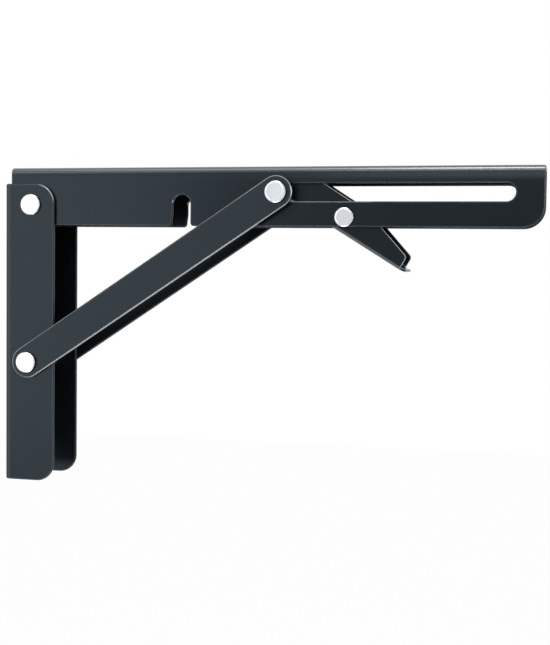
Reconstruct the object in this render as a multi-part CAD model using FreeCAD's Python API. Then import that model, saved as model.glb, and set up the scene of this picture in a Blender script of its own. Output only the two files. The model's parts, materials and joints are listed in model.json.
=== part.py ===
import FreeCAD, Part
import math
import os

# Folding triangle bracket for a drop leaf, shown open and latched.
# A wall channel and an arm channel, both folded from sheet, turn on a top pivot. Two flat brace
# bars run outside both channels, from the lower pivot to a pin that slides in slots along the
# arm. A sprung lever inside the arm keeps the pin at the end of its slots until it is pressed.
# Folded, the arm drops into the wall channel and its notches pass over the lower pivot.
# Millimetres. X runs out from the wall, Z up and Y across, with the left side at -Y. The origin
# is on the wall face, level with the top pivot and midway across.

V = FreeCAD.Vector

# Sheet and clearances
sheet = 2.0
bend_radius = 1.0
edge_break = 0.5
fold_gap = 2.7
arm_side_gap = 0.4
brace_side_gap = 0.3
turn_gap = 0.05
slide_gap = 0.1
face_gap = 0.15
tiny = 1e-6
right_angle = 90.0
full_turn = 4 * right_angle

# Arm channel
arm_length = 300.0
arm_width = 30.0
arm_height = 32.8
arm_end_gap = 1.0
arm_nose_radius = 11.8
slot_width = 9.8
slot_drop = 14.2
slot_end_margin = 15.0
notch_width = 10.3
notch_lead = 0.8
notch_head_gap = 3.0
notch_flare = 0.9
notch_mouth_radius = 2.0
flare_blend = 8.0

# Wall channel
wall_height = 170.4
wall_depth = 30.4
wall_rise = 11.9
wall_top_radius = 11.4
wall_foot_radius = 10.3

# Pivots
top_pivot_x = 16.4
lower_pivot_x = 15.0
lower_pivot_drop = 90.0
pivot_radius = 3.0
tube_radius = 4.0
head_radius = 5.85
head_height = 2.0
head_bevel = 0.5

# Brace bars
brace_reach = 145.6
brace_width = 17.9
brace_thickness = 2.5

# Sliding pin
spacer_radius = 6.5
pin_foot_radius = 5.8
lever_side_gap = 0.35

# Release lever, with places given from its own pivot
lever_pivot_ahead = 36.9
lever_pivot_drop = 13.4
lever_washer_thickness = 1.0
lever_sheet = 1.5
lever_pin_radius = 2.5
lever_head_radius = 5.15
lever_washer_radius = 5.0
lever_web_drop = 8.4
lever_web_slope = 31.5
lever_stop_gap = 1.0
lever_ramp_offset = 9.1
lever_ramp_slope = 32.5
lever_tip_x = 33.6
lever_tip_z = -21.0
lever_tip_radius = 2.5
lever_bend_x = 12.6
lever_bend_blend = 12.0
lever_tip_undercut = 4.1
lever_lip_length = 3.8
lever_lip_curl = 24.0
lever_shoulder_radius = 2.0
lever_heel_radius = 3.0
nose_gap = 0.3
nose_foot_turn = 4.0
nose_relief_gap = 0.8
relief_radius = 3.0

# Latch spring
wire_radius = 0.6
coil_gap = 0.5
coil_turns = 3
coil_steps = 14
coil_pitch = 1.5
spring_seat_gap = 0.15
anchor_leg_slope = 116.0
push_leg_length = 14.0
anchor_hole_radius = 1.5

# Screw holes
screw_radius = 2.75
wall_screw_first = 26.0
wall_screw_pitch = 50.0
arm_screw_margin = 50.0
screw_count = 3

# Places that follow from the sizes above
arm_outer = arm_width / 2
arm_inner = arm_outer - sheet
wall_inner = arm_outer + arm_side_gap
wall_outer = wall_inner + sheet
brace_inner = wall_outer + brace_side_gap
brace_outer = brace_inner + brace_thickness
arm_start = sheet + arm_end_gap
arm_end = arm_start + arm_length
arm_bottom = sheet + fold_gap - top_pivot_x
arm_top = arm_bottom + arm_height
slot_z = arm_top - slot_drop
slide_x = lower_pivot_x + brace_reach
slide_z = slot_z
brace_rise = slide_z + lower_pivot_drop
brace_length = math.hypot(brace_reach, brace_rise)
brace_slope = math.degrees(math.atan2(brace_rise, brace_reach))
slot_radius = slot_width / 2
bush_radius = slot_radius - slide_gap
slot_start = slide_x - bush_radius - slide_gap
slot_end = arm_end - slot_end_margin
notch_x = top_pivot_x + lower_pivot_drop - notch_lead
notch_top = lower_pivot_x - top_pivot_x + tube_radius + notch_head_gap
lever_pivot_x = slide_x + lever_pivot_ahead
lever_pivot_z = slide_z - lever_pivot_drop
lever_outer = arm_inner - lever_washer_thickness - face_gap
lever_width = 2 * lever_outer
lever_inner = lever_outer - lever_sheet
pin_foot_start = lever_outer + lever_side_gap
pin_reach = math.hypot(slide_x - lever_pivot_x, slide_z - lever_pivot_z)
pin_direction = math.degrees(math.atan2(slide_z - lever_pivot_z, slide_x - lever_pivot_x))
nose_reach = pin_reach - bush_radius - nose_gap

# Spring: the angle at which each leg leaves the coil, and where the first leg meets the web
coil_radius = lever_pin_radius + coil_gap + wire_radius
web_reach = lever_web_drop - lever_sheet - wire_radius - spring_seat_gap
push_leg_span = math.hypot(push_leg_length, coil_radius)
push_leg_tilt = math.atan2(push_leg_length, coil_radius) - math.acos(web_reach / push_leg_span)
coil_start = anchor_leg_slope + right_angle
coil_end = 3 * right_angle - lever_web_slope - math.degrees(push_leg_tilt)
coil_turn = (coil_end - coil_start) % full_turn + full_turn * coil_turns
coil_height = coil_pitch * coil_turn / full_turn
anchor_rise = math.radians(anchor_leg_slope)
anchor_z = arm_top - sheet / 2 - lever_pivot_z
anchor_reach = (anchor_z - coil_radius * math.cos(anchor_rise)) / math.sin(anchor_rise)
anchor_x = anchor_reach * math.cos(anchor_rise) - coil_radius * math.sin(anchor_rise)
coil_lead = math.atan2(coil_pitch, 2 * math.pi * coil_radius)
anchor_y = coil_height / 2 + anchor_reach * math.sin(coil_lead)

# Screws and sides
arm_screw_pitch = (arm_length - 2 * arm_screw_margin) / (screw_count - 1)
sides = {"left": -1, "right": 1}


def outline(corners):
    """Face in the plane y = 0 through corners (x, z, radius), each rounded by its radius."""
    count = len(corners)
    points = [V(x, 0, z) for x, z, radius in corners]
    starts = []
    middles = []
    ends = []
    for i in range(count):
        here = points[i]
        radius = corners[i][2]
        if radius == 0:
            starts.append(here)
            middles.append(here)
            ends.append(here)
            continue
        back = (points[i - 1] - here).normalize()
        ahead = (points[(i + 1) % count] - here).normalize()
        half = back.getAngle(ahead) / 2
        inward = (back + ahead).normalize()
        starts.append(here + back * (radius / math.tan(half)))
        middles.append(here + inward * (radius / math.sin(half) - radius))
        ends.append(here + ahead * (radius / math.tan(half)))
    edges = []
    for i in range(count):
        if corners[i][2] > 0:
            edges.append(Part.Arc(starts[i], middles[i], ends[i]).toShape())
        following = starts[(i + 1) % count]
        if (following - ends[i]).Length > tiny:
            edges.append(Part.LineSegment(ends[i], following).toShape())
    return Part.Face(Part.Wire(edges))


def across(face, y_from, y_to):
    """Solid that a y = 0 face sweeps from y_from to y_to."""
    solid = face.extrude(V(0, y_to - y_from, 0))
    solid.translate(V(0, y_from, 0))
    return solid


def disc(x, z, radius, y_from, y_to):
    """Round bar across the bracket."""
    return Part.makeCylinder(radius, abs(y_to - y_from), V(x, y_from, z), V(0, y_to - y_from, 0))


def ring(x, z, radius, bore, y_from, y_to):
    """Washer or tube across the bracket."""
    return disc(x, z, radius, y_from, y_to).cut(disc(x, z, bore, y_from, y_to))


def head(x, z, radius, side, seat):
    """Flat rivet head on the given side, with its outer rim bevelled."""
    crown = side * (seat + head_height)
    solid = disc(x, z, radius, side * seat, crown)
    rim = [edge for edge in solid.Edges if abs(edge.CenterOfMass.y - crown) < tiny]
    return solid.makeChamfer(head_bevel, rim)


def through_rivet(x, z, shank, radius, seat):
    """Rivet across the whole bracket, with a head outside each side."""
    rivet = disc(x, z, shank, -seat, seat)
    for side in sides.values():
        rivet = rivet.fuse(head(x, z, radius, side, seat))
    return rivet.removeSplitter()


def folded_channel(block, hollow, thickness, outer_folds, inner_folds):
    """Sheet folded to a U: a block less its hollow, with both pairs of folds rounded."""
    block = block.makeFillet(bend_radius + thickness, outer_folds(block))
    hollow = hollow.makeFillet(bend_radius, inner_folds(hollow))
    return block.cut(hollow)


def edges_at(solid, **place):
    """Straight edges whose middle lies at the given coordinates."""
    found = []
    for edge in solid.Edges:
        middle = edge.CenterOfMass
        if all(abs(abs(getattr(middle, axis)) - abs(value)) < tiny for axis, value in place.items()):
            found.append(edge)
    return found


def soften(solid, levels, spared):
    """Break the sheet's cut edges, which lie at the given distances from mid-width."""
    rims = []
    for edge in solid.Edges:
        box = edge.BoundBox
        flat = box.YLength < tiny and any(abs(abs(box.YMin) - level) < tiny for level in levels)
        if flat and not any(keep(edge) for keep in spared):
            rims.append(edge)
    return solid.makeChamfer(edge_break, rims)


def along_z(value):
    """Test for a straight edge that runs along X at height value."""
    return lambda edge: edge.BoundBox.ZLength < tiny and abs(edge.BoundBox.ZMin - value) < tiny


def along_x(value):
    """Test for a straight edge that runs along Z at distance value."""
    return lambda edge: edge.BoundBox.XLength < tiny and abs(edge.BoundBox.XMin - value) < tiny


def make_wall_channel():
    """Wall channel: web against the wall, a flange each side, and three screw holes."""
    foot = wall_rise - wall_height
    block = Part.makeBox(wall_depth, 2 * wall_outer, wall_height, V(0, -wall_outer, foot))
    hollow = Part.makeBox(wall_depth, 2 * wall_inner, wall_height, V(sheet, -wall_inner, foot))
    channel = folded_channel(
        block,
        hollow,
        sheet,
        lambda solid: edges_at(solid, x=0, y=wall_outer),
        lambda solid: edges_at(solid, x=sheet, y=wall_inner),
    )
    side_view = outline([
        (0, wall_rise, 0),
        (wall_depth, wall_rise, wall_top_radius),
        (wall_depth, foot, wall_foot_radius),
        (0, foot, 0),
    ])
    channel = channel.common(across(side_view, -wall_outer, wall_outer))
    spared = [along_x(sheet + bend_radius)]
    channel = soften(channel, (wall_outer, wall_inner), spared)
    channel = channel.cut(disc(top_pivot_x, 0, pivot_radius, -wall_outer, wall_outer))
    channel = channel.cut(disc(lower_pivot_x, -lower_pivot_drop, pivot_radius, -wall_outer, wall_outer))
    for i in range(screw_count):
        centre = V(0, 0, -wall_screw_first - i * wall_screw_pitch)
        channel = channel.cut(Part.makeCylinder(screw_radius, sheet, centre, V(1, 0, 0)))
    relief_half = lever_outer + nose_relief_gap
    relief_top = top_pivot_x - lever_pivot_x + nose_reach + nose_relief_gap
    if relief_top > foot:
        relief = Part.makeBox(sheet, 2 * relief_half, relief_top - foot, V(0, -relief_half, foot))
        corners = [edge for edge in edges_at(relief, y=relief_half) if edge.BoundBox.ZMin > foot + tiny]
        channel = channel.cut(relief.makeFillet(relief_radius, corners))
    return channel


def make_arm_channel():
    """Arm channel: web on top, slotted and notched flanges below, and three screw holes."""
    block = Part.makeBox(arm_length, arm_width, arm_height, V(arm_start, -arm_outer, arm_bottom))
    hollow = Part.makeBox(arm_length, 2 * arm_inner, arm_height, V(arm_start, -arm_inner, arm_bottom - sheet))
    channel = folded_channel(
        block,
        hollow,
        sheet,
        lambda solid: edges_at(solid, z=arm_top, y=arm_outer),
        lambda solid: edges_at(solid, z=arm_top - sheet, y=arm_inner),
    )
    heel_radius = top_pivot_x - arm_start
    notch_radius = notch_width / 2
    side_view = outline([
        (arm_start, arm_top, 0),
        (arm_end, arm_top, 0),
        (arm_end, arm_bottom, arm_nose_radius),
        (notch_x + notch_radius, arm_bottom, notch_mouth_radius),
        (notch_x + notch_radius, notch_top, notch_radius),
        (notch_x - notch_radius, notch_top, notch_radius),
        (notch_x - notch_radius, notch_top - notch_width, flare_blend),
        (notch_x - notch_radius - notch_flare, arm_bottom, notch_mouth_radius),
        (arm_start, arm_bottom, heel_radius),
    ])
    channel = channel.common(across(side_view, -arm_outer, arm_outer))
    slot = outline([
        (slot_start, slot_z + slot_radius, slot_radius),
        (slot_end, slot_z + slot_radius, slot_radius),
        (slot_end, slot_z - slot_radius, slot_radius),
        (slot_start, slot_z - slot_radius, slot_radius),
    ])
    channel = channel.cut(across(slot, -arm_outer, arm_outer))
    spared = [along_z(arm_top - sheet - bend_radius)]
    channel = soften(channel, (arm_outer, arm_inner), spared)
    channel = channel.cut(disc(top_pivot_x, 0, pivot_radius + turn_gap, -arm_outer, arm_outer))
    channel = channel.cut(disc(lever_pivot_x, lever_pivot_z, lever_pin_radius, -arm_outer, arm_outer))
    for i in range(screw_count):
        centre = V(arm_start + arm_screw_margin + i * arm_screw_pitch, 0, arm_top - sheet)
        channel = channel.cut(Part.makeCylinder(screw_radius, sheet, centre, V(0, 0, 1)))
    anchor = V(lever_pivot_x + anchor_x, anchor_y, arm_top - sheet)
    return channel.cut(Part.makeCylinder(anchor_hole_radius, sheet, anchor, V(0, 0, 1)))


def make_brace_bar(side):
    """Flat bar with round ends and an eye at each, laid from the lower pivot to the slide."""
    half = brace_width / 2
    bar = across(
        outline([
            (-half, half, half),
            (brace_length + half, half, half),
            (brace_length + half, -half, half),
            (-half, -half, half),
        ]),
        side * brace_inner,
        side * brace_outer,
    )
    bar = soften(bar, (brace_inner, brace_outer), [])
    bar = bar.cut(disc(0, 0, pivot_radius + turn_gap, side * brace_inner, side * brace_outer))
    bar = bar.cut(disc(brace_length, 0, pivot_radius, side * brace_inner, side * brace_outer))
    bar.rotate(V(0, 0, 0), V(0, 1, 0), -brace_slope)
    bar.translate(V(lower_pivot_x, 0, -lower_pivot_drop))
    return bar


def make_slide_cap(side):
    """Outer end of a slide rivet: the head and the shank in the brace bar's eye."""
    shank = disc(slide_x, slide_z, pivot_radius, side * brace_inner, side * brace_outer)
    return shank.fuse(head(slide_x, slide_z, head_radius, side, brace_outer)).removeSplitter()


def make_slide_rivet(side):
    """Inner end of a slide rivet: the shank through the slot and the foot inside the arm."""
    spacer_end = brace_inner - face_gap
    foot_end = arm_inner - face_gap
    shank = disc(slide_x, slide_z, pivot_radius, side * foot_end, side * spacer_end)
    foot = disc(slide_x, slide_z, pin_foot_radius, side * pin_foot_start, side * foot_end)
    return shank.fuse(foot).removeSplitter()


def make_slide_bush(side):
    """Bush that runs in the slot."""
    start = side * (arm_inner - face_gap)
    end = side * (arm_outer + face_gap)
    return ring(slide_x, slide_z, bush_radius, pivot_radius, start, end)


def make_slide_spacer(side):
    """Spacer that holds the brace bar clear of the arm."""
    start = side * (arm_outer + face_gap)
    end = side * (brace_inner - face_gap)
    return ring(slide_x, slide_z, spacer_radius, pivot_radius, start, end)


def lever_directions():
    """Unit vectors along the lever's web, towards its tip, and square to it, into the lever."""
    slope = math.radians(lever_web_slope)
    return V(math.cos(slope), 0, -math.sin(slope)), V(math.sin(slope), 0, math.cos(slope))


def web_face_z(x):
    """Height over the lever's pivot of the outer face of its web."""
    slope = math.radians(lever_web_slope)
    return -(lever_web_drop + x * math.sin(slope)) / math.cos(slope)


def web_face_x(z):
    """Distance from the lever's pivot at which its web's outer face is at height z."""
    slope = math.radians(lever_web_slope)
    return -(lever_web_drop + z * math.cos(slope)) / math.sin(slope)


def lever_side_view():
    """Outline of the lever's plates about its pivot, with the nose end round that pivot."""
    ramp = math.radians(lever_ramp_slope)
    ramp_height = lever_ramp_offset / math.cos(ramp)
    shoulder_z = arm_top - sheet - lever_stop_gap - lever_pivot_z
    shoulder_x = (ramp_height - shoulder_z) / math.tan(ramp)
    bend_z = ramp_height - lever_bend_x * math.tan(ramp)
    foot_turn = math.radians(pin_direction + nose_foot_turn)
    nose_foot_x = nose_reach * math.cos(foot_turn)
    nose_foot_z = nose_reach * math.sin(foot_turn)
    heel_z = arm_bottom - lever_pivot_z
    foot_x = lever_tip_x - lever_tip_undercut
    plate = outline([
        (-nose_reach, shoulder_z, 0),
        (shoulder_x, shoulder_z, lever_shoulder_radius),
        (lever_bend_x, bend_z, lever_bend_blend),
        (lever_tip_x, lever_tip_z, lever_tip_radius),
        (foot_x, web_face_z(foot_x), 0),
        (web_face_x(heel_z), heel_z, lever_heel_radius),
        (nose_foot_x, nose_foot_z, 0),
        (-nose_reach, nose_foot_z, 0),
    ])
    plates = across(plate, -lever_outer, lever_outer)
    nose = disc(0, 0, nose_reach, -lever_outer, lever_outer)
    ahead = Part.makeBox(2 * nose_reach, lever_width, 4 * nose_reach, V(0, -lever_outer, -2 * nose_reach))
    return plates.common(nose.fuse(ahead)), foot_x


def make_release_lever():
    """Lever folded from sheet: two plates with a nose, a web under the handle and a thumb lip."""
    along, up = lever_directions()
    plates, foot_x = lever_side_view()
    tall = plates.BoundBox.DiagonalLength
    block = Part.makeBox(2 * tall, lever_width, tall, V(-tall, -lever_outer, 0))
    hollow = Part.makeBox(2 * tall, 2 * lever_inner, tall, V(-tall, -lever_inner, lever_sheet))
    lever = folded_channel(
        block,
        hollow,
        lever_sheet,
        lambda solid: edges_at(solid, z=0, y=lever_outer),
        lambda solid: edges_at(solid, z=lever_sheet, y=lever_inner),
    )
    lever.rotate(V(0, 0, 0), V(0, 1, 0), lever_web_slope)
    lever.translate(up * -lever_web_drop)
    lever = lever.common(plates)
    lip = thumb_lip(V(foot_x, 0, web_face_z(foot_x)), along, up)
    lever = lever.fuse(lip).removeSplitter()
    lever = lever.cut(disc(0, 0, lever_pin_radius + turn_gap, -lever_outer, lever_outer))
    lever.translate(V(lever_pivot_x, 0, lever_pivot_z))
    return lever


def thumb_lip(start, along, up):
    """Web carried on past the plates and curled up, as wide as the web between its folds."""
    curl = math.radians(lever_lip_curl)
    outer = lever_lip_length / curl
    inner = outer - lever_sheet
    centre = start + up * outer

    def at(radius, angle):
        return centre + along * (radius * math.sin(angle)) - up * (radius * math.cos(angle))

    root = along * -lever_sheet
    edges = [
        Part.LineSegment(at(outer, 0) + root, at(outer, 0)),
        Part.Arc(at(outer, 0), at(outer, curl / 2), at(outer, curl)),
        Part.LineSegment(at(outer, curl), at(inner, curl)),
        Part.Arc(at(inner, curl), at(inner, curl / 2), at(inner, 0)),
        Part.LineSegment(at(inner, 0), at(inner, 0) + root),
        Part.LineSegment(at(inner, 0) + root, at(outer, 0) + root),
    ]
    half = lever_inner - bend_radius
    return across(Part.Face(Part.Wire([edge.toShape() for edge in edges])), -half, half)


def coil_point(turned):
    """Point on the coil's centreline, in the frame of its own axis, after turning so far."""
    angle = math.radians(coil_start + turned)
    return V(
        coil_radius * math.cos(angle),
        coil_height / 2 - coil_height * turned / coil_turn,
        coil_radius * math.sin(angle),
    )


def coil_heading(turned):
    """Direction of the coil's centreline there."""
    angle = math.radians(coil_start + turned)
    flat = math.cos(coil_lead)
    return V(-math.sin(angle) * flat, -math.sin(coil_lead), math.cos(angle) * flat)


def make_latch_spring():
    """Torsion spring round the lever's pivot: one leg to a hole in the arm, one on the lever."""
    count = round(coil_turn / full_turn * coil_steps)
    points = [coil_point(coil_turn * i / count) for i in range(count + 1)]
    entering = coil_heading(0)
    tip = points[0] - entering * anchor_reach
    points.insert(0, tip)
    points.append(points[-1] + coil_heading(coil_turn) * push_leg_length)
    path = Part.makePolygon(points)
    section = Part.Wire(Part.makeCircle(wire_radius, tip, entering))
    spring = path.makePipeShell([section], True, True, 1)
    spring.translate(V(lever_pivot_x, 0, lever_pivot_z))
    return spring


def build():
    """All pieces by the names of their files."""
    pieces = {
        "wall_channel": make_wall_channel(),
        "arm_channel": make_arm_channel(),
        "top_pivot_rivet": through_rivet(top_pivot_x, 0, pivot_radius, head_radius, wall_outer),
        "top_pivot_tube": ring(
            top_pivot_x, 0, tube_radius, pivot_radius, face_gap - arm_inner, arm_inner - face_gap
        ),
        "lower_pivot_rivet": through_rivet(
            lower_pivot_x, -lower_pivot_drop, pivot_radius, head_radius, brace_outer + face_gap
        ),
        "lower_pivot_tube": ring(
            lower_pivot_x, -lower_pivot_drop, tube_radius, pivot_radius, -wall_inner, wall_inner
        ),
        "lever_pivot_rivet": through_rivet(
            lever_pivot_x, lever_pivot_z, lever_pin_radius, lever_head_radius, arm_outer
        ),
        "release_lever": make_release_lever(),
        "latch_spring": make_latch_spring(),
    }
    for name, side in sides.items():
        pieces["brace_bar_" + name] = make_brace_bar(side)
        pieces["slide_cap_" + name] = make_slide_cap(side)
        pieces["slide_rivet_" + name] = make_slide_rivet(side)
        pieces["slide_bush_" + name] = make_slide_bush(side)
        pieces["slide_spacer_" + name] = make_slide_spacer(side)
        pieces["lever_washer_" + name] = ring(
            lever_pivot_x,
            lever_pivot_z,
            lever_washer_radius,
            lever_pin_radius,
            side * (lever_outer + face_gap),
            side * arm_inner,
        )
    return pieces


os.makedirs("parts", exist_ok=True)
for name, shape in build().items():
    shape.exportStep("parts/" + name + ".step")
    print(name, shape.isValid(), len(shape.Solids), round(shape.Volume, 1))
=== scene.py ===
import json
import math

import bpy
from mathutils import Matrix, Vector


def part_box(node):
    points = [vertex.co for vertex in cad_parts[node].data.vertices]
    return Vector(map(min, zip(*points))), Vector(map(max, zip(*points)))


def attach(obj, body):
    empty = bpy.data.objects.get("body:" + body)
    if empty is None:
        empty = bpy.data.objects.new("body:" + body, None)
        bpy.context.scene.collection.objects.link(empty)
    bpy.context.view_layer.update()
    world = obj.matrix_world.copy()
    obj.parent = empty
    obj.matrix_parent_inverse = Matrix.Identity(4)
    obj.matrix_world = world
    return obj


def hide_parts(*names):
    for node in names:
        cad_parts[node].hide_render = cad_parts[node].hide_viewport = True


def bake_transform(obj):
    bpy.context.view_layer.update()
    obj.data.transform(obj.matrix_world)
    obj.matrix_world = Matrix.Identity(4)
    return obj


# Looks of the folding triangle bracket: black powder coat, plated rivets, latch spring, studio.
# Metres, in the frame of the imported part: X out from the wall, Z up, left side at -Y.

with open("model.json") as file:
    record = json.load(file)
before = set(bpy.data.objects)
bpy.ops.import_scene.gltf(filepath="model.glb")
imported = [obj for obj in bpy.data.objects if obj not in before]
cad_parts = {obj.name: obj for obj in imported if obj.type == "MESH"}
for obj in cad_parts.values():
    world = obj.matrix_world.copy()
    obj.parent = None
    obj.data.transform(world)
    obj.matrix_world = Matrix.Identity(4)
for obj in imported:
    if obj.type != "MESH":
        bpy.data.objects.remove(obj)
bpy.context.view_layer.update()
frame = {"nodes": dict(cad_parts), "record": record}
mm = 0.001

# Rivets: sizes of the heads and shanks
head_height = 2.0 * mm
rim_slope_width = 0.80 * mm
rim_slope_height = 0.42 * mm
rim_round = 0.12 * mm
dish_depth = 0.03 * mm
pivot_shank = 3.0 * mm
lever_shank = 2.5 * mm
bar_thickness = 2.5 * mm
turned_segments = 72
sharp_turn = math.radians(32.0)
groove_pitch = 0.22 * mm

# Latch spring: a coil round the lever's pivot, one leg in the arm's web and one on the lever
sheet = 2.0 * mm
wire_radius = 0.6 * mm
coil_radius = 3.6 * mm
coil_pitch = 1.5 * mm
coil_turns = 3
coil_steps = 48
anchor_leg_slope = math.radians(116.0)
push_leg_length = 14.0 * mm
lever_web_slope = math.radians(31.5)
lever_web_drop = 8.4 * mm
lever_fold_width = 2.5 * mm
lever_web_reach = 6.15 * mm
wire_sides = 20

# Powder coat
coat_colour = (0.0035, 0.0050, 0.0060)
# Lighter colour laid along the coat's edges: a painted highlight
coat_edge_highlight_colour = (0.085, 0.105, 0.125)
coat_roughness = 0.27
coat_specular = 0.185
coat_tint = (0.64, 0.80, 0.95)
colour_spread = 0.12
roughness_spread = 0.03
peel_pitch = 0.9 * mm
peel_height = 0.012 * mm
mottle_pitch = 30.0 * mm
fleck_pitch = 0.25 * mm

# Rounding of edges in the shading, the mask of the painted highlight along edges, and the shine of worn
# film on edges and folds
edge_radius = 0.4 * mm
lever_edge_radius = 0.9 * mm
edge_start = 0.004
edge_full = 0.12
rim_share = 0.4
fold_share = 0.44
burnish_index = 3.0
burnish_roughness = 0.24

# Burnished folds: down from the arm's top, in from its sides and out from the wall
top_burnish_start = 4.0 * mm
top_burnish_full = 1.4 * mm
side_burnish_start = 4.5 * mm
side_burnish_full = 2.0 * mm
wall_burnish_start = 4.0 * mm
wall_burnish_full = 0.5 * mm
wall_burnish = 0.3

# Edges given a painted highlight in the base colour and a glossier coat: where they lie and how strong
# each is
mask_margin = 0.1 * mm
slant_start = 0.05
slant_full = 0.15
upward_start = 0.75
upward_full = 0.95
bar_highlight = 0.72
lever_fold_highlight = 0.27
slot_half_width = 4.9 * mm
slot_highlight_width = 0.7 * mm
slot_highlight_reach = 15.0 * mm

# Slow bumps: the flanges' roll into the arm's fold, and the bow of the brace bars
fold_reach = 9.0 * mm
fold_start = 3.0 * mm
fold_lean = math.radians(12.0)
bow_start = 60.0 * mm
bow_end = 150.0 * mm
bow_lean = math.radians(4.0)

# Bright nickel on the rivets
nickel_colour = (0.62, 0.635, 0.68)
# Lighter colour on the rivets' rims: a painted highlight
nickel_rim_highlight_colour = (0.88, 0.89, 0.90)
nickel_dull_share = 0.95
nickel_roughness = (0.13, 0.20)
nickel_peel_pitch = 2.4 * mm
nickel_mottle_pitch = 5.0 * mm
nickel_fleck_pitch = 0.12 * mm
nickel_edge_radius = 0.12 * mm
nickel_relief = 0.002 * mm
groove_roughness = 0.02
groove_share = 0.3

# Plain and spring steel
zinc_colour = (0.50, 0.51, 0.53)
zinc_roughness = (0.28, 0.42)
spring_colour = (0.22, 0.22, 0.23)
spring_roughness = (0.25, 0.38)
steel_dark_share = 0.8
steel_light_share = 1.15
# Lighter colour along the steel's edges: a painted highlight
steel_edge_highlight_share = 1.3
steel_peel_pitch = 0.5 * mm
steel_mottle_pitch = 3.0 * mm
steel_fleck_pitch = 0.15 * mm
steel_edge_radius = 0.15 * mm
steel_relief = 0.006 * mm

# Camera: the photograph's view, from a little right of the arm's end
photo_height = 645
sensor_width = 36.0
camera_place = Vector((315.4, -658.3, -30.8)) * mm
camera_yaw = math.radians(13.587)
camera_pitch = math.radians(2.884)
camera_roll = math.radians(0.693)
focal_pixels = 1209.9

# Studio
floor_level = -0.75
floor_size = 8.0
floor_colour = (0.93, 0.93, 0.93)
floor_roughness = 0.9
white_share = 0.98
world_level = 0.2

# Lamps: name, place, target, size and power
lamps = (
    ("left_box", (-0.51, -0.91, 0.06), (0.10, 0.0, 0.0), (0.70, 0.95), 6.7),
    ("high_box", (0.0, -0.50, 0.87), (0.0, 0.0, 0.0), (0.80, 0.50), 2.4),
    ("high_key", (0.22, -0.50, 0.80), (0.20, 0.0, 0.0), (0.28, 0.30), 3.0),
    ("right_panel", (0.22, -0.85, 0.36), (0.20, 0.0, 0.0), (0.45, 0.25), 1.8),
    ("right_strip", (1.30, -0.15, 0.15), (0.20, 0.0, 0.0), (0.12, 0.90), 4.0),
    ("low_box", (0.15, -0.30, -0.70), (0.15, 0.0, -0.05), (0.60, 0.35), 3.2),
)


# Node trees

def socket(tree, name, kind, value=None, output=False):
    """Adds a named socket to a node tree, with its default value."""
    made = tree.interface.new_socket(name=name, in_out="OUTPUT" if output else "INPUT", socket_type=kind)
    if value is not None:
        made.default_value = value
    return made


def node(tree, kind, links=None, **settings):
    """Adds a node, sets its properties and inputs, and links what feeds it."""
    made = tree.nodes.new(kind)
    for name, value in settings.items():
        setattr(made, name, value)
    for name, value in (links or {}).items():
        if isinstance(value, bpy.types.NodeSocket):
            tree.links.new(value, made.inputs[name])
        else:
            made.inputs[name].default_value = value
    return made


def maths(tree, operation, first, second=0.0, clamp=False):
    """One Math node. Returns its output."""
    made = node(tree, "ShaderNodeMath", {0: first, 1: second}, operation=operation, use_clamp=clamp)
    return made.outputs[0]


def chained(tree, operation, first, *others):
    """The same operation over several values, such as their product. Returns the value."""
    for value in others:
        first = maths(tree, operation, first, value)
    return first


def ranged(tree, value, low, high, start=0.0, full=1.0, smooth=False):
    """Spreads a value over a range: low where it is at start, high where it is full."""
    links = {"Value": value, "From Min": start, "From Max": full, "To Min": low, "To Max": high}
    kind = "SMOOTHSTEP" if smooth else "LINEAR"
    return node(tree, "ShaderNodeMapRange", links, interpolation_type=kind).outputs["Result"]


def scaled(colour, share):
    """A colour made darker or lighter."""
    return tuple(share * part for part in colour)


def mixed(tree, share, first, second):
    """Mix of two colours. Returns the colour."""
    made = node(tree, "ShaderNodeMix", data_type="RGBA")
    for place, value in ((0, share), (6, first), (7, second)):
        if isinstance(value, bpy.types.NodeSocket):
            tree.links.new(value, made.inputs[place])
        elif place == 0:
            made.inputs[place].default_value = value
        else:
            made.inputs[place].default_value = (*value, 1.0)
    return made.outputs[2]


def coat_texture_group():
    """Orange peel, slow mottling and fine flecks on Object coordinates."""
    group = bpy.data.node_groups.new("coat_texture", "ShaderNodeTree")
    socket(group, "Peel Pitch", "NodeSocketFloat", peel_pitch)
    socket(group, "Mottle Pitch", "NodeSocketFloat", mottle_pitch)
    socket(group, "Fleck Pitch", "NodeSocketFloat", fleck_pitch)
    for name in ("Peel", "Mottle", "Fleck"):
        socket(group, name, "NodeSocketFloat", output=True)
    given = node(group, "NodeGroupInput").outputs
    place = node(group, "ShaderNodeTexCoord").outputs["Object"]
    puts = node(group, "NodeGroupOutput")
    for name, detail in (("Peel", 1.5), ("Mottle", 3.0), ("Fleck", 0.0)):
        scale = maths(group, "DIVIDE", 1.0, given[name + " Pitch"])
        noise = node(group, "ShaderNodeTexNoise", {"Vector": place, "Scale": scale, "Detail": detail})
        group.links.new(noise.outputs["Fac"], puts.inputs[name])
    return group


def soft_edges_group():
    """Edges rounded in the shading, with a mask that is bright along them."""
    group = bpy.data.node_groups.new("soft_edges", "ShaderNodeTree")
    socket(group, "Radius", "NodeSocketFloat", edge_radius)
    socket(group, "Edge", "NodeSocketFloat", output=True)
    socket(group, "Normal", "NodeSocketVector", output=True)
    given = node(group, "NodeGroupInput").outputs
    rounded = node(group, "ShaderNodeBevel", {"Radius": given["Radius"]}, samples=8).outputs[0]
    face = node(group, "ShaderNodeNewGeometry").outputs["Normal"]
    match = node(group, "ShaderNodeVectorMath", {0: rounded, 1: face}, operation="DOT_PRODUCT")
    turned = maths(group, "SUBTRACT", 1.0, match.outputs["Value"])
    edge = ranged(group, turned, 0.0, 1.0, edge_start, edge_full)
    puts = node(group, "NodeGroupOutput")
    group.links.new(edge, puts.inputs["Edge"])
    group.links.new(rounded, puts.inputs["Normal"])
    return group


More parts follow.
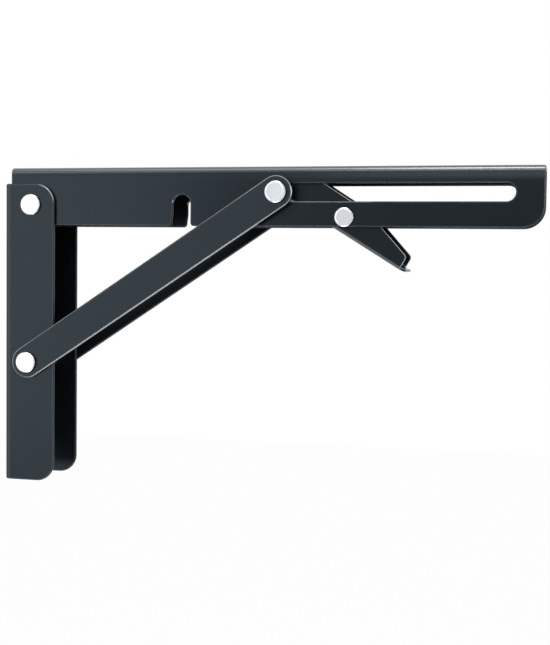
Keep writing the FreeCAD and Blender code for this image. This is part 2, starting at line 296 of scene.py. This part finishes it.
def new_material(name):
    """Material with a Principled BSDF. Returns the material, its tree and the shader."""
    material = bpy.data.materials.new(name)
    material.use_nodes = True
    tree = material.node_tree
    return material, tree, tree.nodes["Principled BSDF"]


def grouped(tree, group, **values):
    """Places a node group in a material, with its own values. Returns its outputs."""
    links = {name.replace("_", " "): value for name, value in values.items()}
    return node(tree, "ShaderNodeGroup", links, node_tree=group).outputs


def bumped(tree, height, distance, normal=None):
    """Bump over a normal, with the height in metres. Returns the normal."""
    links = {"Height": height, "Distance": distance}
    if normal is not None:
        links["Normal"] = normal
    return node(tree, "ShaderNodeBump", links).outputs["Normal"]


# Where the coat is bent or burnished, and where its edges get a painted highlight

def part_place(tree):
    """Place in the part's frame. Returns X, the distance from the middle plane, and Z."""
    place = node(tree, "ShaderNodeTexCoord").outputs["Object"]
    parts = node(tree, "ShaderNodeSeparateXYZ", {"Vector": place}).outputs
    return parts["X"], maths(tree, "ABSOLUTE", parts["Y"]), parts["Z"]


def eased_ramp(tree, along, span):
    """Height that starts level, curves up over a span and goes on straight with slope 1."""
    share = maths(tree, "DIVIDE", along, span, clamp=True)
    curved = chained(tree, "MULTIPLY", share, share, span / 2)
    straight = maths(tree, "MAXIMUM", maths(tree, "SUBTRACT", along, span), 0.0)
    return maths(tree, "ADD", curved, straight)


def fold_roll(tree):
    """Height of the slow roll by which the arm's flanges lean into the fold of its web."""
    x, side, z = part_place(tree)
    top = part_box("arm_channel")[1].z
    above = maths(tree, "SUBTRACT", z, top - fold_reach)
    rise = eased_ramp(tree, above, fold_reach - fold_start)
    return maths(tree, "MULTIPLY", rise, -math.tan(fold_lean))


def bar_bow(tree):
    """Height of the slight bow of the brace's bars, which turns their upper ends to the wall."""
    x, side, z = part_place(tree)
    outside = maths(tree, "GREATER_THAN", side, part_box("wall_channel")[1].y + mask_margin)
    along = maths(tree, "SUBTRACT", x, bow_start)
    rise = eased_ramp(tree, along, bow_end - bow_start)
    return chained(tree, "MULTIPLY", rise, math.tan(bow_lean), outside)


def fold_burnish(tree):
    """Mask of the folds, where the film is thin: 1 on the arm's bends, less on the wall channel's."""
    x, side, z = part_place(tree)
    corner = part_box("arm_channel")[1]
    up = ranged(tree, z, 0.0, 1.0, corner.z - top_burnish_start, corner.z - top_burnish_full)
    start = corner.y - side_burnish_start
    full = corner.y - side_burnish_full
    out = ranged(tree, side, 0.0, 1.0, start, full, smooth=True)
    back = ranged(tree, x, 0.0, wall_burnish, wall_burnish_start, wall_burnish_full, smooth=True)
    clear = maths(tree, "GREATER_THAN", side, corner.y + 2 * mask_margin)
    on_arm = chained(tree, "MULTIPLY", up, up, out)
    return maths(tree, "MAXIMUM", on_arm, maths(tree, "MULTIPLY", back, clear))


def lever_mask(tree):
    """1 on the release lever, between the arm's flanges, and 0 outside it."""
    x, side, z = part_place(tree)
    low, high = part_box("release_lever")
    between = maths(tree, "LESS_THAN", side, high.y + mask_margin)
    past_nose = maths(tree, "GREATER_THAN", x, low.x - mask_margin)
    below_top = maths(tree, "LESS_THAN", z, high.z + mask_margin)
    return chained(tree, "MULTIPLY", between, past_nose, below_top)


def broken_edges(tree, facing):
    """Mask of the broken edges of the sheets, whose faces slant between side and outline."""
    square = maths(tree, "MULTIPLY", facing["Y"], facing["Y"])
    slant = maths(tree, "MULTIPLY", square, maths(tree, "SUBTRACT", 1.0, square))
    return ranged(tree, slant, 0.0, 1.0, slant_start, slant_full)


def lever_edge_highlight(tree, axis):
    """Painted highlight between the arm's flanges: full on the lever's plates, less on the fold of its
    web.
    """
    x, side, z = part_place(tree)
    on_lever = maths(tree, "LESS_THAN", side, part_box("release_lever")[1].y + mask_margin)
    sine = math.sin(lever_web_slope)
    cosine = math.cos(lever_web_slope)
    depth = maths(tree, "ADD", maths(tree, "MULTIPLY", x, -sine), maths(tree, "MULTIPLY", z, -cosine))
    fold = axis.x * -sine + axis.z * -cosine + lever_web_drop - lever_fold_width
    on_fold = maths(tree, "GREATER_THAN", depth, fold)
    plain = ranged(tree, on_fold, 1.0, lever_fold_highlight)
    return maths(tree, "MULTIPLY", on_lever, plain)


def slot_edge_highlight(tree, axis):
    """Painted highlight along the slots' lower edge, from their near end to a little past the lever's
    pivot.
    """
    x, side, z = part_place(tree)
    low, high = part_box("slide_bush_left")
    slot_edge = (low.z + high.z) / 2 - slot_half_width
    rise = maths(tree, "ABSOLUTE", maths(tree, "SUBTRACT", z, slot_edge))
    by_edge = maths(tree, "LESS_THAN", rise, slot_highlight_width)
    near = maths(tree, "LESS_THAN", x, axis.x + slot_highlight_reach)
    on_arm = maths(tree, "LESS_THAN", side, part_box("arm_channel")[1].y + mask_margin)
    return chained(tree, "MULTIPLY", by_edge, near, on_arm)


def shoulder_highlight(tree, facing):
    """Painted highlight on the wall channel's round shoulders, where they face up and out."""
    x, side, z = part_place(tree)
    on_wall = maths(tree, "LESS_THAN", side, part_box("wall_channel")[1].y + mask_margin)
    past_arm = maths(tree, "GREATER_THAN", side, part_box("arm_channel")[1].y + 2 * mask_margin)
    upward = maths(tree, "ADD", facing["X"], facing["Z"])
    upward = ranged(tree, upward, 0.0, 1.0, upward_start, upward_full)
    return chained(tree, "MULTIPLY", on_wall, past_arm, upward)


def highlighted_edges(tree):
    """Mask of the broken edges that get a painted highlight and a glossier coat: on bars, lever, slots and
    shoulders.
    """
    geometry = node(tree, "ShaderNodeNewGeometry").outputs
    facing = node(tree, "ShaderNodeSeparateXYZ", {"Vector": geometry["True Normal"]}).outputs
    x, side, z = part_place(tree)
    wall_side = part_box("wall_channel")[1].y
    on_bar = maths(tree, "GREATER_THAN", side, wall_side + bar_thickness / 2)
    on_bar = maths(tree, "MULTIPLY", on_bar, bar_highlight)
    low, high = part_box("lever_pivot_rivet")
    axis = (low + high) / 2
    highlights = (lever_edge_highlight(tree, axis), slot_edge_highlight(tree, axis), shoulder_highlight(tree, facing))
    share = chained(tree, "MAXIMUM", on_bar, *highlights)
    return maths(tree, "MULTIPLY", broken_edges(tree, facing), share)


# Finishes

def powder_coat(texture, edges):
    """Satin black powder coat: cured film with orange peel, thinner and glossier on the edges, which a
    painted highlight also lightens.
    """
    material, tree, shader = new_material("powder_coat")
    film = grouped(tree, texture)
    lever = lever_mask(tree)
    rim = grouped(tree, edges, Radius=ranged(tree, lever, edge_radius, lever_edge_radius))
    dark = scaled(coat_colour, 1.0 - colour_spread)
    light = scaled(coat_colour, 1.0 + colour_spread)
    cloudy = mixed(tree, film["Mottle"], dark, light)
    # Mask of the edges that get a painted highlight in the colour, and more coat shine below
    edge_highlight = highlighted_edges(tree)
    # Edges lightened by a painted highlight, from the rounded-edge mask and the highlighted edges' mask
    colour = mixed(tree, maths(tree, "MAXIMUM", rim["Edge"], edge_highlight), cloudy, coat_edge_highlight_colour)
    tree.links.new(colour, shader.inputs["Base Color"])
    clouds = ranged(tree, film["Mottle"], -roughness_spread, roughness_spread)
    flecks = ranged(tree, film["Fleck"], -roughness_spread, roughness_spread)
    rough = chained(tree, "ADD", coat_roughness, clouds, flecks)
    tree.links.new(rough, shader.inputs["Roughness"])
    shader.inputs["Specular IOR Level"].default_value = coat_specular
    shader.inputs["Specular Tint"].default_value = (*coat_tint, 1.0)
    rims = maths(tree, "MULTIPLY", rim["Edge"], ranged(tree, lever, rim_share, 1.0))
    folds = maths(tree, "MULTIPLY", fold_burnish(tree), fold_share)
    worn = chained(tree, "MAXIMUM", rims, folds, edge_highlight)
    tree.links.new(worn, shader.inputs["Coat Weight"])
    shader.inputs["Coat IOR"].default_value = burnish_index
    shader.inputs["Coat Roughness"].default_value = burnish_roughness
    shape = maths(tree, "ADD", fold_roll(tree), bar_bow(tree))
    rolled = bumped(tree, shape, 1.0, rim["Normal"])
    tree.links.new(bumped(tree, film["Peel"], peel_height, rolled), shader.inputs["Normal"])
    return material


def turned_plate(texture, edges):
    """Bright nickel on turned rivets: faint lathe rings round each axis and a rim lightened by a painted
    highlight.
    """
    material, tree, shader = new_material("nickel_plate")
    film = grouped(
        tree, texture,
        Peel_Pitch=nickel_peel_pitch, Mottle_Pitch=nickel_mottle_pitch, Fleck_Pitch=nickel_fleck_pitch,
    )
    rim = grouped(tree, edges, Radius=nickel_edge_radius)
    radius = node(tree, "ShaderNodeAttribute", attribute_name="turn_radius").outputs["Fac"]
    phase = maths(tree, "MULTIPLY", radius, 2 * math.pi / groove_pitch)
    ring = ranged(tree, maths(tree, "SINE", phase), 0.0, 1.0, start=-1.0)
    colour = mixed(tree, film["Mottle"], scaled(nickel_colour, nickel_dull_share), nickel_colour)
    # Rims lightened by a painted highlight
    colour = mixed(tree, rim["Edge"], colour, nickel_rim_highlight_colour)
    tree.links.new(colour, shader.inputs["Base Color"])
    grooves = ranged(tree, ring, -groove_roughness, groove_roughness)
    rough = maths(tree, "ADD", ranged(tree, film["Fleck"], *nickel_roughness), grooves)
    tree.links.new(rough, shader.inputs["Roughness"])
    shader.inputs["Metallic"].default_value = 1.0
    height = maths(tree, "ADD", ranged(tree, ring, 0.0, groove_share), film["Peel"])
    tree.links.new(bumped(tree, height, nickel_relief, rim["Normal"]), shader.inputs["Normal"])
    return material


def zinc_plate(name, colour, roughness, texture, edges):
    """Plated or oiled plain steel, cloudy and a little rough."""
    material, tree, shader = new_material(name)
    film = grouped(
        tree, texture,
        Peel_Pitch=steel_peel_pitch, Mottle_Pitch=steel_mottle_pitch, Fleck_Pitch=steel_fleck_pitch,
    )
    rim = grouped(tree, edges, Radius=steel_edge_radius)
    dark = scaled(colour, steel_dark_share)
    light = scaled(colour, steel_light_share)
    cloudy = mixed(tree, film["Mottle"], dark, light)
    # Edges lightened by a painted highlight
    cloudy = mixed(tree, rim["Edge"], cloudy, scaled(colour, steel_edge_highlight_share))
    tree.links.new(cloudy, shader.inputs["Base Color"])
    tree.links.new(ranged(tree, film["Fleck"], *roughness), shader.inputs["Roughness"])
    shader.inputs["Metallic"].default_value = 1.0
    tree.links.new(bumped(tree, film["Peel"], steel_relief, rim["Normal"]), shader.inputs["Normal"])
    return material


# Turned rivets

def head_profile(radius):
    """Half section of a rivet head from its seat: (radius, height) with a sloped, softened rim."""
    shoulder = head_height - rim_slope_height
    flat = radius - rim_slope_width
    from_shoulder = ((0.0, -1.0), (-0.3, -0.1), (-1.2, 0.5))
    from_crest = ((1.2, -0.4), (0.0, 0.0))
    dish = ((flat - rim_round, 0.3), (flat - 2.5 * rim_round, 0.5), (0.5 * flat, 0.9), (0.0, 1.0))
    points = [(radius, 0.0)]
    points += [(radius + out * rim_round, shoulder + up * rim_round) for out, up in from_shoulder]
    points += [(flat + out * rim_round, head_height + up * rim_round) for out, up in from_crest]
    points += [(reach, head_height - share * dish_depth) for reach, share in dish]
    return points


def turned_mesh(name, radius, shank, two_heads):
    """Rivet turned about Y. Its seats lie at y = 0: the vertices past zero move out to the grip's ends."""
    tiny = 0.001 * mm
    upper = [(shank, tiny)] + [(r, h + tiny) for r, h in head_profile(radius)]
    lower = [(r, -h) for r, h in reversed(upper)] if two_heads else [(0.0, -tiny), (shank, -tiny)]
    section = lower + upper
    vertices = []
    rings = []
    radii = []
    for r, y in section:
        ring = []
        for i in range(turned_segments if r > 0 else 1):
            angle = 2 * math.pi * i / turned_segments
            ring.append(len(vertices))
            vertices.append((r * math.cos(angle), y, r * math.sin(angle)))
            radii.append(r)
        rings.append(ring)
    faces = []
    for below, above in zip(rings, rings[1:]):
        for i in range(turned_segments):
            j = (i + 1) % turned_segments
            corners = [
                below[i % len(below)],
                above[i % len(above)],
                above[j % len(above)],
                below[j % len(below)],
            ]
            faces.append(list(dict.fromkeys(corners)))
    mesh = bpy.data.meshes.new(name)
    mesh.from_pydata(vertices, [], faces)
    mesh.attributes.new("turn_radius", "FLOAT", "POINT").data.foreach_set("value", radii)
    return mesh


def rivets_tree():
    """Sets a turned rivet on each point and stretches its shank to the point's two seats."""
    tree = bpy.data.node_groups.new("set_rivets", "GeometryNodeTree")
    socket(tree, "Geometry", "NodeSocketGeometry")
    socket(tree, "Rivet", "NodeSocketObject")
    socket(tree, "Material", "NodeSocketMaterial")
    socket(tree, "Geometry", "NodeSocketGeometry", output=True)
    given = node(tree, "NodeGroupInput").outputs
    rivet = node(tree, "GeometryNodeObjectInfo", {"Object": given["Rivet"]}).outputs["Geometry"]
    turn = node(tree, "GeometryNodeInputNamedAttribute", {"Name": "turn"}, data_type="FLOAT_VECTOR")
    placed = node(tree, "GeometryNodeInstanceOnPoints", {
        "Points": given["Geometry"],
        "Instance": rivet,
        "Rotation": turn.outputs["Attribute"],
    })
    real = node(tree, "GeometryNodeRealizeInstances", {"Geometry": placed.outputs["Instances"]})
    height = node(tree, "GeometryNodeInputPosition").outputs[0]
    height = node(tree, "ShaderNodeSeparateXYZ", {"Vector": height}).outputs["Y"]
    ahead = node(tree, "FunctionNodeCompare", {
        "A": height,
        "B": 0.0,
    }, data_type="FLOAT", operation="GREATER_THAN")
    left = node(tree, "GeometryNodeInputNamedAttribute", {"Name": "left_seat"}, data_type="FLOAT")
    right = node(tree, "GeometryNodeInputNamedAttribute", {"Name": "right_seat"}, data_type="FLOAT")
    reach = node(tree, "GeometryNodeSwitch", {
        "Switch": ahead.outputs["Result"],
        "False": left.outputs["Attribute"],
        "True": right.outputs["Attribute"],
    }, input_type="FLOAT")
    shift = node(tree, "ShaderNodeCombineXYZ", {"Y": reach.outputs[0]})
    stretched = node(tree, "GeometryNodeSetPosition", {
        "Geometry": real.outputs[0],
        "Offset": shift.outputs[0],
    })
    painted = node(tree, "GeometryNodeSetMaterial", {
        "Geometry": stretched.outputs[0],
        "Material": given["Material"],
    })
    puts = node(tree, "NodeGroupOutput")
    tree.links.new(painted.outputs[0], puts.inputs["Geometry"])
    return tree


def wire_tree():
    """Sweeps a round wire along a curve."""
    tree = bpy.data.node_groups.new("round_wire", "GeometryNodeTree")
    socket(tree, "Geometry", "NodeSocketGeometry")
    socket(tree, "Wire Radius", "NodeSocketFloat", wire_radius)
    socket(tree, "Sides", "NodeSocketInt", wire_sides)
    socket(tree, "Material", "NodeSocketMaterial")
    socket(tree, "Geometry", "NodeSocketGeometry", output=True)
    given = node(tree, "NodeGroupInput").outputs
    section = node(tree, "GeometryNodeCurvePrimitiveCircle", {
        "Resolution": given["Sides"],
        "Radius": given["Wire Radius"],
    })
    swept = node(tree, "GeometryNodeCurveToMesh", {
        "Curve": given["Geometry"],
        "Profile Curve": section.outputs["Curve"],
        "Fill Caps": True,
    })
    smooth = node(tree, "GeometryNodeSetShadeSmooth", {"Geometry": swept.outputs[0]})
    real = node(tree, "GeometryNodeRealizeInstances", {"Geometry": smooth.outputs[0]})
    painted = node(tree, "GeometryNodeSetMaterial", {
        "Geometry": real.outputs[0],
        "Material": given["Material"],
    })
    puts = node(tree, "NodeGroupOutput")
    tree.links.new(painted.outputs[0], puts.inputs["Geometry"])
    return tree


def grown(name, data, tree, **values):
    """Runs a geometry tree on a mesh or curve and keeps the result as a plain mesh object."""
    source = bpy.data.objects.new(name + "_source", data)
    bpy.context.scene.collection.objects.link(source)
    modifier = source.modifiers.new(tree.name, "NODES")
    modifier.node_group = tree
    for item in tree.interface.items_tree:
        if item.in_out == "INPUT" and item.name in values:
            modifier[item.identifier] = values[item.name]
    evaluated = source.evaluated_get(bpy.context.evaluated_depsgraph_get())
    mesh = bpy.data.meshes.new_from_object(evaluated)
    mesh.name = name
    bpy.data.objects.remove(source)
    piece = bpy.data.objects.new(name, mesh)
    bpy.context.scene.collection.objects.link(piece)
    return piece


def smooth_turned(mesh):
    """Smooth shading with the sharp steps of a turned part kept."""
    mesh.shade_smooth()
    mesh.set_sharp_from_angle(angle=sharp_turn)


def set_rivets(name, body, seats, head_radius, shank, two_heads, material, nodes):
    """Rivets of one body. Each seat is (x, z, left seat, right seat, turn about Z)."""
    pattern_mesh = turned_mesh(name + "_pattern", head_radius, shank, two_heads)
    pattern = bpy.data.objects.new(name + "_pattern", pattern_mesh)
    points = bpy.data.meshes.new(name + "_seats")
    points.from_pydata([(x, 0.0, z) for x, z, left, right, turn in seats], [], [])
    points.attributes.new("left_seat", "FLOAT", "POINT").data.foreach_set("value", [s[2] for s in seats])
    points.attributes.new("right_seat", "FLOAT", "POINT").data.foreach_set("value", [s[3] for s in seats])
    turns = [value for s in seats for value in (0.0, 0.0, s[4])]
    points.attributes.new("turn", "FLOAT_VECTOR", "POINT").data.foreach_set("vector", turns)
    piece = grown(name, points, trees["rivets"], Rivet=pattern, Material=material)
    smooth_turned(piece.data)
    bpy.data.objects.remove(pattern)
    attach(piece, body)
    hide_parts(*nodes)
    return piece


def spring_points(axis, web_top):
    """Centreline of the latch spring about the lever's axis, from its hole in the arm to its free end."""
    span = math.hypot(push_leg_length, coil_radius)
    tilt = math.atan2(push_leg_length, coil_radius) - math.acos(lever_web_reach / span)
    start = anchor_leg_slope + math.pi / 2
    end = 3 * math.pi / 2 - lever_web_slope - tilt
    turned = (end - start) % (2 * math.pi) + 2 * math.pi * coil_turns
    height = coil_pitch * turned / (2 * math.pi)
    lead = math.atan2(coil_pitch, 2 * math.pi * coil_radius)
    rise = web_top - sheet / 2 - axis.z
    anchor_reach = (rise - coil_radius * math.cos(anchor_leg_slope)) / math.sin(anchor_leg_slope)

    def on_coil(turn):
        angle = start + turn
        side = height / 2 - height * turn / turned
        return axis + Vector((coil_radius * math.cos(angle), side, coil_radius * math.sin(angle)))

    def heading(turn):
        angle = start + turn
        flat = math.cos(lead)
        return Vector((-math.sin(angle) * flat, -math.sin(lead), math.cos(angle) * flat))

    steps = round(coil_steps * turned / (2 * math.pi))
    leg_steps = 8
    points = [on_coil(0) - heading(0) * anchor_reach * (1 - i / leg_steps) for i in range(leg_steps)]
    points += [on_coil(turned * i / steps) for i in range(steps + 1)]
    tail = points[-1]
    points += [tail + heading(turned) * push_leg_length * (i + 1) / leg_steps for i in range(leg_steps)]
    return points, height


def make_spring(material):
    """Round-wire latch spring, wound between the arm and the lever."""
    low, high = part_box("lever_pivot_rivet")
    axis = (low + high) / 2
    points, height = spring_points(axis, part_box("arm_channel")[1].z)
    curve = bpy.data.curves.new("latch_wire", "CURVE")
    curve.dimensions = "3D"
    line = curve.splines.new("POLY")
    line.points.add(len(points) - 1)
    for point, place in zip(line.points, points):
        point.co = (*place, 1.0)
    piece = grown("latch_wire", curve, trees["wire"], Material=material)
    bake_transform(piece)
    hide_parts("latch_spring")
    return piece


def make_rivets(material):
    """All rivets with turned heads, one mesh for each body."""
    through = {}
    for name in ("top_pivot_rivet", "lower_pivot_rivet", "lever_pivot_rivet"):
        low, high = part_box(name)
        middle = (low + high) / 2
        seat = high.y - head_height
        through[name] = (middle.x, middle.z, -seat, seat, 0.0)
    low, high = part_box("top_pivot_rivet")
    head_radius = (high.x - low.x) / 2
    set_rivets(
        "pivot_rivets", "wall_channel", [through["top_pivot_rivet"], through["lower_pivot_rivet"]],
        head_radius, pivot_shank, True, material, ["top_pivot_rivet", "lower_pivot_rivet"],
    )
    low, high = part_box("lever_pivot_rivet")
    set_rivets(
        "lever_rivet", "arm", [through["lever_pivot_rivet"]],
        (high.x - low.x) / 2, lever_shank, True, material, ["lever_pivot_rivet"],
    )
    low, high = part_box("slide_cap_right")
    middle = (low + high) / 2
    outer = high.y - head_height
    inner = outer - bar_thickness
    caps = [(middle.x, middle.z, inner, outer, 0.0), (middle.x, middle.z, -outer, -inner, math.pi)]
    set_rivets(
        "slide_caps", "brace", caps, head_radius, pivot_shank, False, material,
        ["slide_cap_left", "slide_cap_right"],
    )


# Studio

def ray_mask(tree):
    """1 for rays from the camera, reflections and transmission."""
    path = node(tree, "ShaderNodeLightPath").outputs
    seen = maths(tree, "ADD", path["Is Camera Ray"], path["Is Glossy Ray"])
    return maths(tree, "ADD", seen, path["Is Transmission Ray"], clamp=True)


def make_world():
    """White to the eye, and a plain level of light."""
    world = bpy.data.worlds.new("studio")
    bpy.context.scene.world = world
    world.use_nodes = True
    tree = world.node_tree
    back = tree.nodes["Background"]
    level = maths(tree, "MULTIPLY_ADD", ray_mask(tree), 1.0 - world_level)
    level.node.inputs[2].default_value = world_level
    tree.links.new(level, back.inputs["Strength"])
    back.inputs["Color"].default_value = (1.0, 1.0, 1.0, 1.0)


def make_floor():
    """Plain pale floor well below the bracket, which hangs on its wall."""
    half = floor_size / 2
    corners = [(-half, -half), (half, -half), (half, half), (-half, half)]
    mesh = bpy.data.meshes.new("floor")
    mesh.from_pydata([(x, y, floor_level) for x, y in corners], [], [(0, 1, 2, 3)])
    material, tree, shader = new_material("floor")
    shader.inputs["Base Color"].default_value = (*floor_colour, 1.0)
    shader.inputs["Roughness"].default_value = floor_roughness
    shader.inputs["Specular IOR Level"].default_value = 0.0
    glow = node(tree, "ShaderNodeEmission", {"Color": (1.0, 1.0, 1.0, 1.0)})
    share = maths(tree, "MULTIPLY", ray_mask(tree), white_share)
    both = node(tree, "ShaderNodeMixShader", {0: share, 1: shader.outputs[0], 2: glow.outputs[0]})
    tree.links.new(both.outputs[0], tree.nodes["Material Output"].inputs["Surface"])
    mesh.materials.append(material)
    floor = bpy.data.objects.new("floor", mesh)
    bpy.context.scene.collection.objects.link(floor)


def add_lamp(name, place, target, size, power):
    """Soft box aimed at a point, unseen by the camera itself."""
    data = bpy.data.lights.new(name, "AREA")
    data.shape = "RECTANGLE"
    data.size, data.size_y = size
    data.energy = power
    lamp = bpy.data.objects.new(name, data)
    lamp.location = place
    lamp.rotation_euler = (Vector(target) - Vector(place)).to_track_quat("-Z", "Y").to_euler()
    lamp.visible_camera = False
    bpy.context.scene.collection.objects.link(lamp)


def make_camera():
    """Camera at the photograph's angle."""
    yaw, pitch = camera_yaw, camera_pitch
    ahead = Vector((-math.sin(yaw) * math.cos(pitch), math.cos(yaw) * math.cos(pitch), -math.sin(pitch)))
    level = Vector((math.cos(yaw), math.sin(yaw), 0.0))
    above = level.cross(ahead)
    right = level * math.cos(camera_roll) + above * math.sin(camera_roll)
    up = above * math.cos(camera_roll) - level * math.sin(camera_roll)
    data = bpy.data.cameras.new("camera")
    data.sensor_width = sensor_width
    data.lens = focal_pixels * sensor_width / photo_height
    camera = bpy.data.objects.new("camera", data)
    turn = Matrix((right, up, -ahead)).transposed().to_4x4()
    camera.matrix_world = Matrix.Translation(camera_place) @ turn
    bpy.context.scene.collection.objects.link(camera)
    bpy.context.scene.camera = camera


trees = {"rivets": rivets_tree(), "wire": wire_tree()}
texture = coat_texture_group()
edges = soft_edges_group()
finishes = {
    "powder_coat": powder_coat(texture, edges),
    "nickel_plate": turned_plate(texture, edges),
    "plain_steel": zinc_plate("plain_steel", zinc_colour, zinc_roughness, texture, edges),
    "spring_steel": zinc_plate("spring_steel", spring_colour, spring_roughness, texture, edges),
}
for part in frame["record"]["subparts"]:
    slots = frame["nodes"][part["node"]].data.materials
    slots.clear()
    slots.append(finishes[part["material_slot"]])

make_rivets(finishes["nickel_plate"])
make_spring(finishes["spring_steel"])

make_world()
make_floor()
for name, place, target, size, power in lamps:
    add_lamp(name, place, target, size, power)
make_camera()
bpy.context.scene.view_settings.view_transform = "Standard"
